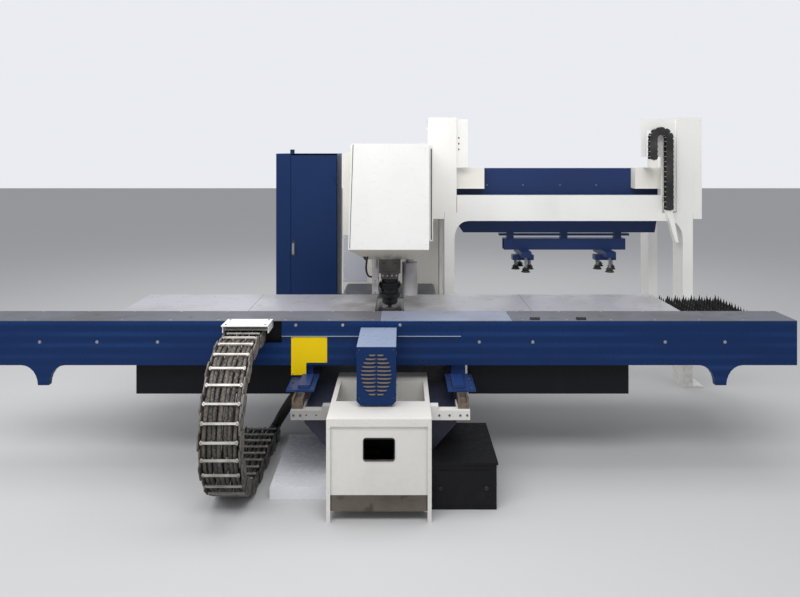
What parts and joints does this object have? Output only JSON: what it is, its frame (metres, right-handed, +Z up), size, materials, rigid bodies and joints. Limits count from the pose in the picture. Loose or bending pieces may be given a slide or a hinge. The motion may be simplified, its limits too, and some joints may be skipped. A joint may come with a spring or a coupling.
{
  "type": "cnc punch press",
  "caption": "CNC punching machine with a C-frame, a long moving guide with sheet tables, clamps and tool magazine, a drive cabinet and a lifting portal for sheets",
  "frame": {"origin": "on the floor, on the middle plane of the bed, below the line of the punch", "axes": "+X along the guide towards the loader, +Y to the back of the machine, +Z up"},
  "size_m": [5.373, 3.5801, 2.33],
  "materials": {
    "navy_paint": "satin dark blue paint on welded steel",
    "white_paint": "satin white powder coat on sheet steel",
    "cream_paint": "satin cream paint on welded steel",
    "blue_paint": "satin blue paint on sheet steel",
    "grey_paint": "worn grey paint on steel",
    "machined_steel": "machined steel",
    "black_steel": "blackened steel",
    "sheet_steel": "rolled sheet steel with a dull sheen",
    "black_plastic": "matte moulded plastic",
    "yellow_paint": "plain yellow plate",
    "rubber": "matte black rubber",
    "module_grey": "grey coated module housings"
  },
  "bodies": {
    "machine": {"bed_body": "navy_paint", "front_housing": "white_paint", "floor_pan": "white_paint", "service_box": "black_plastic", "front_arm_left": "grey_paint", "front_arm_right": "white_paint", "outriggers": "navy_paint", "bearing_blocks": "machined_steel", "lower_arm": "grey_paint", "throat_plate": "grey_paint", "column": "cream_paint", "upper_arm": "cream_paint", "head_cover": "white_paint", "head_skirt": "cream_paint", "ram_guide": "grey_paint", "press_cylinder": "machined_steel", "index_gearbox": "grey_paint", "strip_cylinder": "machined_steel", "die_holder": "machined_steel", "energy_chain": "black_plastic", "hose_bundle": "rubber", "cabinet_body": "blue_paint", "drive_modules": "module_grey", "loader_legs_front": "cream_paint", "loader_legs_rear": "cream_paint", "loader_beam": "cream_paint", "loader_towers": "cream_paint", "tower_plates": "cream_paint", "drag_chain": "black_plastic"},
    "tray": {"slug_tray": "grey_paint"},
    "ram": {"ram": "black_steel"},
    "punch": {"punch_tool": "black_steel"},
    "die": {"die": "machined_steel"},
    "guide": {"guide_frame": "navy_paint", "y_beams": "blue_paint", "guide_cover": "blue_paint", "top_plates": "sheet_steel", "top_plate_middle": "sheet_steel", "cover_screws": "machined_steel", "notice_plate": "yellow_paint", "motor_cover": "blue_paint", "drive_motor": "black_steel", "chain_top_bracket": "white_paint", "table_left": "sheet_steel", "table_right": "sheet_steel", "brush_table": "sheet_steel", "brush_strips": "black_plastic"},
    "fan": {"cooling_fan": "black_steel"},
    "magazine": {"magazine_rail": "grey_paint", "clamp_bodies": "machined_steel", "cassettes": "machined_steel", "stored_tools": "machined_steel"},
    "jaw_left": {"clamp_jaw_left": "machined_steel"},
    "jaw_middle": {"clamp_jaw_middle": "machined_steel"},
    "jaw_right": {"clamp_jaw_right": "machined_steel"},
    "door": {"cabinet_door": "blue_paint"},
    "handle": {"door_handle": "machined_steel"},
    "lift": {"lift_beam": "blue_paint", "suction_frame": "blue_paint", "suction_cups": "rubber"}
  },
  "joints": [
    {"name": "tray_slide", "type": "slide", "parent": "machine", "child": "tray", "axis": [0, -1, 0], "range_m": [0, 0.45]},
    {"name": "ram_stroke", "type": "slide", "parent": "machine", "child": "ram", "axis": [0, 0, 1], "range_m": [-0.01, 0.035]},
    {"name": "punch_turn", "type": "hinge", "parent": "ram", "child": "punch", "pos_m": [0.036, 0, 1.1], "axis": [0, 0, 1], "continuous": true},
    {"name": "die_turn", "type": "hinge", "parent": "machine", "child": "die", "pos_m": [0.036, 0, 0.87], "axis": [0, 0, 1], "continuous": true},
    {"name": "guide_travel", "type": "slide", "parent": "machine", "child": "guide", "axis": [0, 1, 0], "range_m": [-0.45, 0.25], "deforming": ["energy_chain"]},
    {"name": "fan_turn", "type": "hinge", "parent": "guide", "child": "fan", "pos_m": [-0.021, -1.07, 0.75336], "axis": [0, 1, 0], "continuous": true},
    {"name": "magazine_travel", "type": "slide", "parent": "guide", "child": "magazine", "axis": [1, 0, 0], "range_m": [-1.2, 1.2]},
    {"name": "jaw_left_tilt", "type": "hinge", "parent": "magazine", "child": "jaw_left", "pos_m": [-0.85, -0.437, 0.916], "axis": [1, 0, 0], "range_deg": [-3, 8]},
    {"name": "jaw_middle_tilt", "type": "hinge", "parent": "magazine", "child": "jaw_middle", "pos_m": [0, -0.437, 0.916], "axis": [1, 0, 0], "range_deg": [-3, 8]},
    {"name": "jaw_right_tilt", "type": "hinge", "parent": "magazine", "child": "jaw_right", "pos_m": [0.85, -0.437, 0.916], "axis": [1, 0, 0], "range_deg": [-3, 8]},
    {"name": "door_hinge", "type": "hinge", "parent": "machine", "child": "door", "pos_m": [-0.511, 1.416, 1], "axis": [0, 0, 1], "range_deg": [0, 95]},
    {"name": "handle_turn", "type": "hinge", "parent": "door", "child": "handle", "pos_m": [-0.925, 1.43, 1.058], "axis": [0, 1, 0], "range_deg": [0, 90]},
    {"name": "lift_travel", "type": "slide", "parent": "machine", "child": "lift", "axis": [0, 0, 1], "range_m": [-0.19, 0.3], "deforming": ["drag_chain"]}
  ],
  "couplings": [
    {"joint": "die_turn", "follows": "punch_turn", "ratio": 1},
    {"joint": "jaw_left_tilt", "follows": "jaw_middle_tilt", "ratio": 1},
    {"joint": "jaw_right_tilt", "follows": "jaw_middle_tilt", "ratio": 1}
  ]
}
